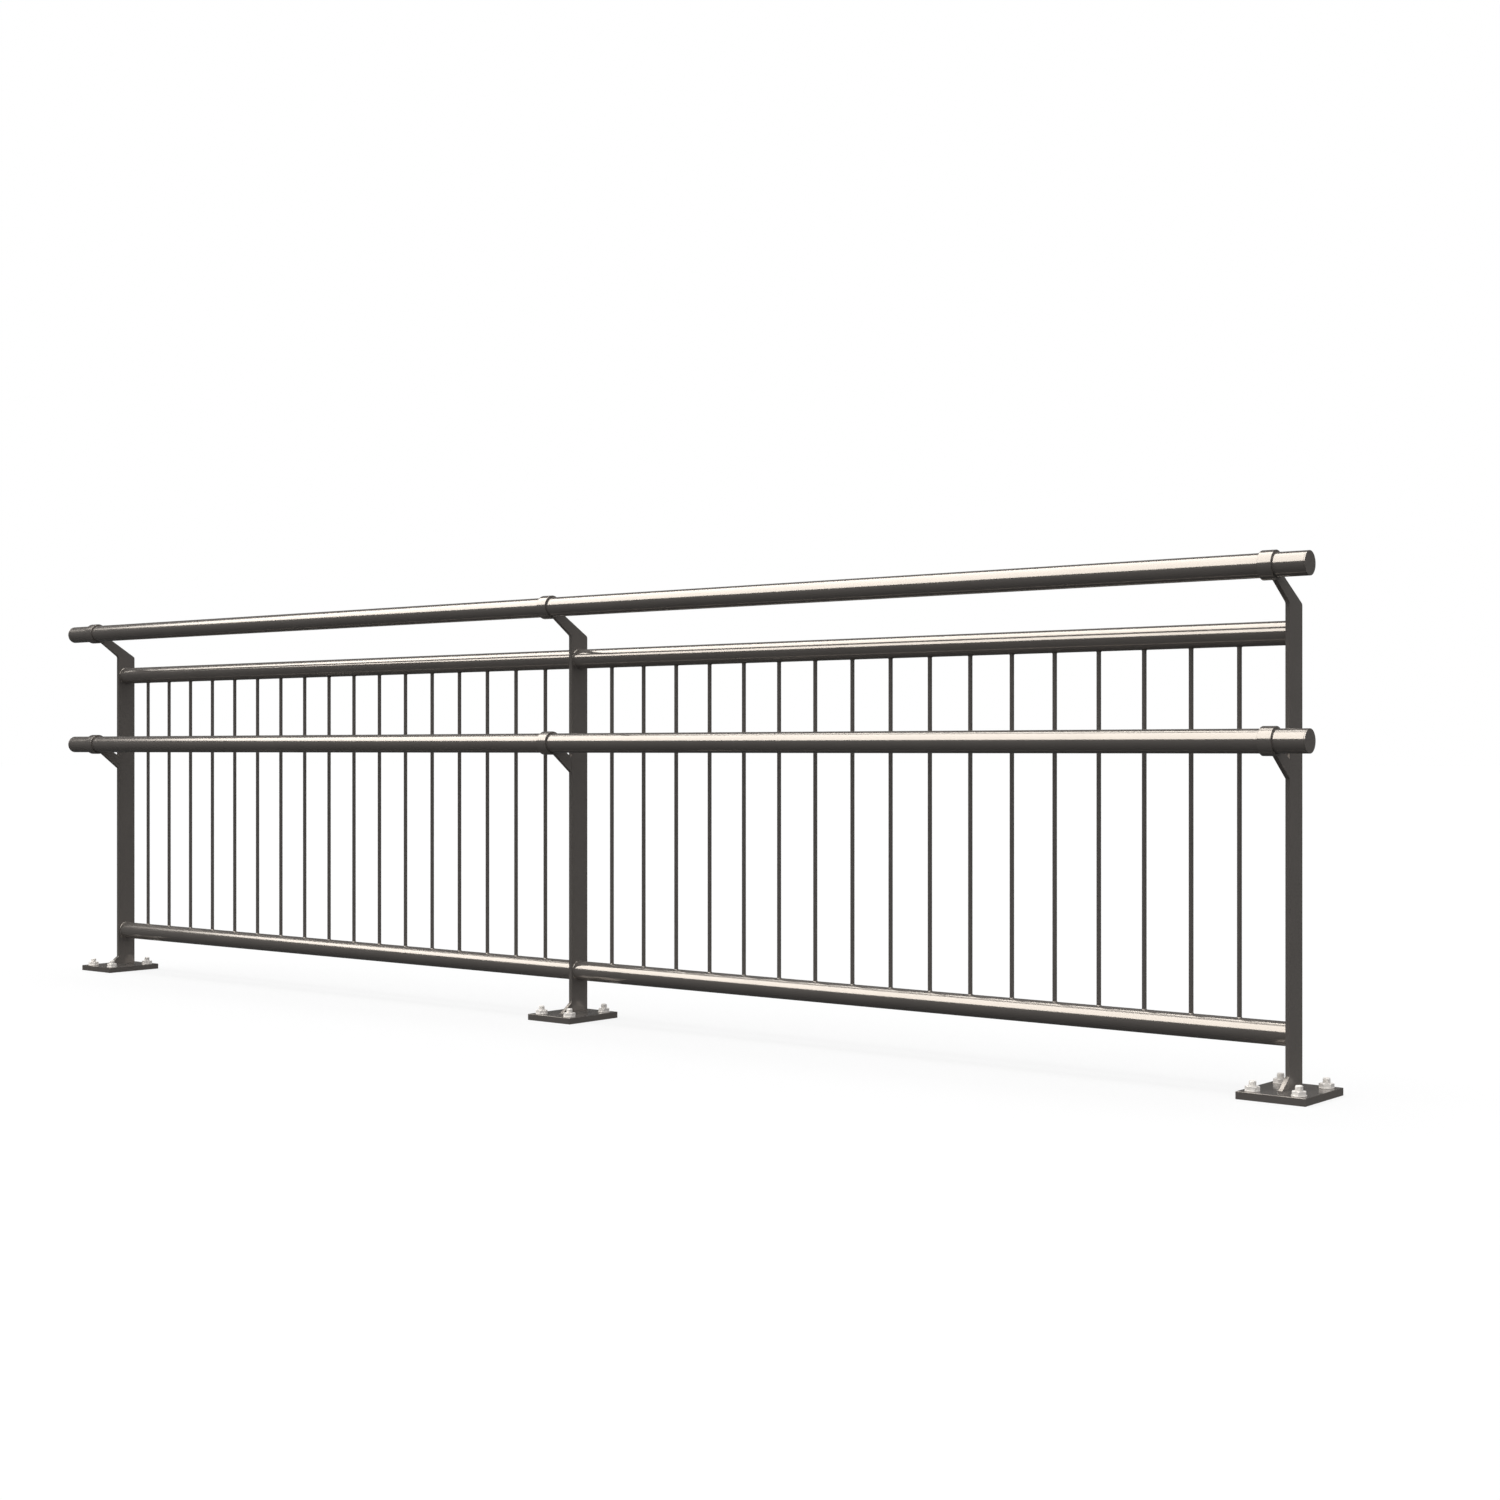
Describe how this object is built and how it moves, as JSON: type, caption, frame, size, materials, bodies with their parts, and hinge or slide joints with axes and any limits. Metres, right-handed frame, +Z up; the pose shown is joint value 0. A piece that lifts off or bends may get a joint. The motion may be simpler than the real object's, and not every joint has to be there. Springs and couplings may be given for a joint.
{
  "type": "steel railing with two handrails",
  "caption": "Steel railing of plate posts on bolted base plates, with tube handrails at two heights in front and panels of slim round bars between tube rails.",
  "frame": {"origin": "on the underside of the middle base plate, below the centre of the middle post", "axes": "+X along the railing, +Y away from the handrail side, +Z up"},
  "size_m": [4.2, 0.2101, 1.1],
  "materials": {
    "grey_paint": "satin dark warm grey metallic paint",
    "zinc_fasteners": "bright zinc plated nuts, washers and studs"
  },
  "bodies": {
    "root": {"base_plate_left": "grey_paint", "base_plate_middle": "grey_paint", "base_plate_right": "grey_paint", "post_left": "grey_paint", "post_middle": "grey_paint", "post_right": "grey_paint", "toe_gusset_left": "grey_paint", "toe_gusset_middle": "grey_paint", "toe_gusset_right": "grey_paint", "lower_bracket_left": "grey_paint", "lower_bracket_middle": "grey_paint", "lower_bracket_right": "grey_paint", "upper_sleeves": "grey_paint", "lower_sleeves": "grey_paint", "upper_handrail": "grey_paint", "lower_handrail": "grey_paint", "upper_end_caps": "grey_paint", "lower_end_caps": "grey_paint", "top_rail_left": "grey_paint", "top_rail_right": "grey_paint", "bottom_rail_left": "grey_paint", "bottom_rail_right": "grey_paint", "balusters_left": "grey_paint", "balusters_right": "grey_paint"}
  },
  "joints": []
}
